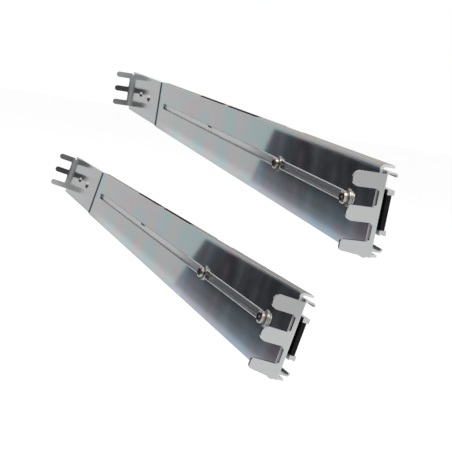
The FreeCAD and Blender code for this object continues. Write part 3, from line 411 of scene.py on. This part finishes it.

# ---- Bumpers, stops, pads and levers --------------------------------------------------------
# Black moulded nylon in front and on the lever, black rubber at the rear stop, foam
# strip under the top flange, and black rubber blocks that fill the flange's two windows.
CROWN_PLAY = 0.0008
CROWN_WIDE, CROWN_TALL = 0.0027, 0.0021
CROWN_Y, CROWN_Z = 0.00185, 0.02190
for rail in RAILS:
    nylon = Finish(f"{rail}_nylon", rail, 0.0, 0.55, (0.004, 0.004, 0.0045))
    nylon.shader.inputs["Specular IOR Level"].default_value = 0.15
    nylon.feed("Roughness", 0.50 + 0.15 * nylon.noise(500.0))
    nylon.bump(nylon.noise(2500.0), 0.15, 0.0001)
    dress(nylon, f"{rail}_front_bumper", f"{rail}_release_lever")
    rubber = Finish(f"{rail}_rubber", rail, 0.0, 0.85, (0.008, 0.008, 0.008))
    rubber.shader.inputs["Specular IOR Level"].default_value = 0.2
    rubber.bump(rubber.noise(1800.0), 0.25, 0.0002)
    dress(rubber, f"{rail}_rear_stop", f"{rail}_damping_pad")
    crowns = bmesh.new()
    for start, end, window in CHANNEL_SPANS:
        if window:
            block = bmesh.ops.create_cube(crowns, size=1.0)
            bmesh.ops.scale(crowns, verts=block["verts"],
                            vec=(end - start - CROWN_PLAY, CROWN_WIDE, CROWN_TALL))
            bmesh.ops.translate(crowns, verts=block["verts"],
                                vec=((start + end) / 2, CROWN_Y, CROWN_Z))
    bmesh.ops.bevel(crowns, geom=crowns.edges[:], offset=0.0004, affect="EDGES", segments=2,
                    profile=0.5, material=-1)
    bmesh.ops.recalc_face_normals(crowns, faces=crowns.faces)
    bmesh.ops.transform(crowns, matrix=PLACES[rail], verts=crowns.verts)
    crown_data = bpy.data.meshes.new(f"{rail}_foam_crowns")
    crowns.to_mesh(crown_data)
    crown_data.materials.append(rubber.material)
    foam = bpy.data.objects.new(f"{rail}_foam_crowns", crown_data)
    bpy.context.scene.collection.objects.link(foam)
    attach(foam, "fixed_rails")

# ---- Studio ---------------------------------------------------------------------------------
# White surroundings, soft lamps, and a glowing flag beside each rail, hidden from the camera,
# whose painted glow its bright web mirrors as a painted reflection.
CAMERA_PLACE = Vector((0.3440, -0.1815, 0.0575))
CAMERA_TURN = (78.764, -9.695, 73.861)
CAMERA_LENS = 68.07
camera_data = bpy.data.cameras.new("camera")
camera_data.lens = CAMERA_LENS
camera_data.sensor_width = 36.0
camera_data.clip_start = 0.01
camera = bpy.data.objects.new("camera", camera_data)
camera.location = CAMERA_PLACE
camera.rotation_euler = [math.radians(angle) for angle in CAMERA_TURN]
bpy.context.scene.collection.objects.link(camera)
bpy.context.scene.camera = camera

world = bpy.data.worlds.new("studio")
bpy.context.scene.world = world
world.use_nodes = True
sky = Field(world.node_tree, None)
rays = world.node_tree.nodes.new("ShaderNodeLightPath")
seen = sky.math("MAXIMUM", Field(world.node_tree, rays.outputs["Is Camera Ray"]),
                Field(world.node_tree, rays.outputs["Is Glossy Ray"]))
seen = sky.math("MAXIMUM", seen, Field(world.node_tree, rays.outputs["Is Transmission Ray"]))
background = world.node_tree.nodes["Background"]
background.inputs["Color"].default_value = (1.0, 1.0, 1.0, 1.0)
world.node_tree.links.new((seen * 0.35 + 0.65).socket, background.inputs["Strength"])

FLOOR_DROP = 0.30
lowest = cad_box[0][2]
floor_mesh = bmesh.new()
bmesh.ops.create_grid(floor_mesh, x_segments=1, y_segments=1, size=6.0)
floor_data = bpy.data.meshes.new("floor")
bmesh.ops.translate(floor_mesh, verts=floor_mesh.verts, vec=(0.0, 0.0, lowest - FLOOR_DROP))
floor_mesh.to_mesh(floor_data)
floor = bpy.data.objects.new("floor", floor_data)
bpy.context.scene.collection.objects.link(floor)
floor_paint = bpy.data.materials.new("floor_paint")
floor_paint.use_nodes = True
floor_shader = floor_paint.node_tree.nodes["Principled BSDF"]
floor_shader.inputs["Base Color"].default_value = (0.85, 0.85, 0.85, 1.0)
floor_shader.inputs["Roughness"].default_value = 1.0
floor_shader.inputs["Specular IOR Level"].default_value = 0.0
floor_shader.inputs["Emission Strength"].default_value = 0.42
lit = Field(floor_paint.node_tree, None)
floor_rays = floor_paint.node_tree.nodes.new("ShaderNodeLightPath")
floor_seen = lit.math("MAXIMUM", Field(lit.tree, floor_rays.outputs["Is Camera Ray"]),
                      Field(lit.tree, floor_rays.outputs["Is Glossy Ray"]))
floor_seen = lit.math("MAXIMUM", floor_seen,
                      Field(lit.tree, floor_rays.outputs["Is Transmission Ray"]))
lit.tree.links.new(floor_seen.tint((0.0, 0.0, 0.0, 1.0), (1.0, 1.0, 1.0, 1.0)).socket,
                   floor_shader.inputs["Emission Color"])
floor_data.materials.append(floor_paint)

FLAG_BESIDE = 0.024


def flag(rail):
    """A glowing board close to the rail's web, seen only in reflections: a painted reflection, dark
    by the front, pale behind.
    """
    eye = PLACES[rail].inverted() @ CAMERA_PLACE
    grow = FLAG_BESIDE / -eye.y

    def seen_at(x, z):
        return Vector((x + grow * (x - eye.x), -FLAG_BESIDE, z + grow * (z - eye.z)))

    foot = {"rail1": -0.027, "rail2": -0.040}[rail]
    corners = [seen_at(x, z) for x, z in ((-0.70, foot), (0.04, foot), (0.04, 0.04), (-0.70, 0.04))]
    flag_sheet = bmesh.new()
    flag_sheet.faces.new([flag_sheet.verts.new(corner) for corner in corners])
    bmesh.ops.transform(flag_sheet, matrix=PLACES[rail], verts=flag_sheet.verts)
    data = bpy.data.meshes.new(f"{rail}_flag")
    flag_sheet.to_mesh(data)
    board = bpy.data.objects.new(f"{rail}_flag", data)
    bpy.context.scene.collection.objects.link(board)
    board.visible_camera = False
    board.visible_diffuse = False
    board.visible_shadow = False

    paint = Finish(f"{rail}_flag_painted_glow", rail, 0.0, 0.9, (0.0, 0.0, 0.0))
    web_x = (paint.axis("X") + grow * eye.x) * (1.0 / (1.0 + grow))
    web_z = (paint.axis("Z") + grow * eye.z) * (1.0 / (1.0 + grow))
    fall, top = {"rail1": (0.0065, 0.0205), "rail2": (0.0164, 0.02215)}[rail]
    near = ((web_x - 0.72 * web_z).fade(-0.1668, -0.1632)
            * (web_z - fall * web_x).fade(top + 0.0010, top - 0.0010))
    # Painted reflection: streaks and mottle in the glow, which the web mirrors.
    streaks = paint.noise(70.0, 3.0, 0.6, 1.0, 0.2).fade(0.42, 0.75)
    mottle = paint.noise(110.0, 3.0, 0.6, 1.0, 0.6).fade(0.45, 0.70)
    dark_zone_glow = (0.045 + 0.09 * web_x.fade(-0.085, -0.165) + 0.08 * streaks + 0.03 * mottle
                  + 0.12 * web_z.fade(0.0, -0.010) + 0.14 * web_z.fade(-0.010, -0.016)
                  + 0.50 * web_z.fade(-0.0155, -0.021))
    pale_glow = (0.66 + 0.24 * web_z.fade(-0.012, -0.0200) * (1.0 - 0.85 * web_x.fade(-0.38, -0.50))
                 - 0.08 * web_z.fade(-0.0203, -0.0212))
    # Painted reflections of the rear fingers, laid as dim bars in the pale glow.
    painted_finger_reflections = None
    for start, end in {"rail1": ((0.0022, 0.0050), (-0.0140, -0.0095)),
                       "rail2": ((0.0172, 0.0192), (0.0016, 0.0052), (-0.0136, -0.0092))}[rail]:
        line = web_z - (web_x + 0.660) * ((end - start) / 0.070) - start
        bar = (line.fade(-0.0034, -0.0016) * line.fade(0.0034, 0.0016)
               * web_x.fade(-0.595, -0.640))
        painted_finger_reflections = bar if painted_finger_reflections is None else painted_finger_reflections + bar
    pale_glow = pale_glow * (1.0 - 0.62 * painted_finger_reflections)
    glow = dark_zone_glow * near + pale_glow * (1.0 - near)
    light = paint.node("ShaderNodeEmission", {},
                       {"Strength": glow,
                        "Color": near.tint((1.0, 1.0, 1.0, 1.0), (0.90, 0.93, 1.05, 1.0))})
    paint.tree.links.new(light.socket, paint.tree.nodes["Material Output"].inputs["Surface"])
    data.materials.append(paint.material)


for rail in RAILS:
    flag(rail)


def lamp(name, place, aim, size, power):
    data = bpy.data.lights.new(name, "AREA")
    data.shape = "DISK"
    data.size = size
    data.energy = power
    made = bpy.data.objects.new(name, data)
    made.location = place
    made.rotation_euler = (Vector(aim) - Vector(place)).to_track_quat("-Z", "Y").to_euler()
    bpy.context.scene.collection.objects.link(made)


lamp("key_lamp", (0.9, -1.2, 1.6), (-0.25, 0.0, -0.05), 1.6, 14.0)
lamp("fill_lamp", (-1.4, 1.2, 1.4), (-0.3, 0.0, -0.05), 1.8, 8.0)

bpy.context.scene.view_settings.view_transform = "Standard"
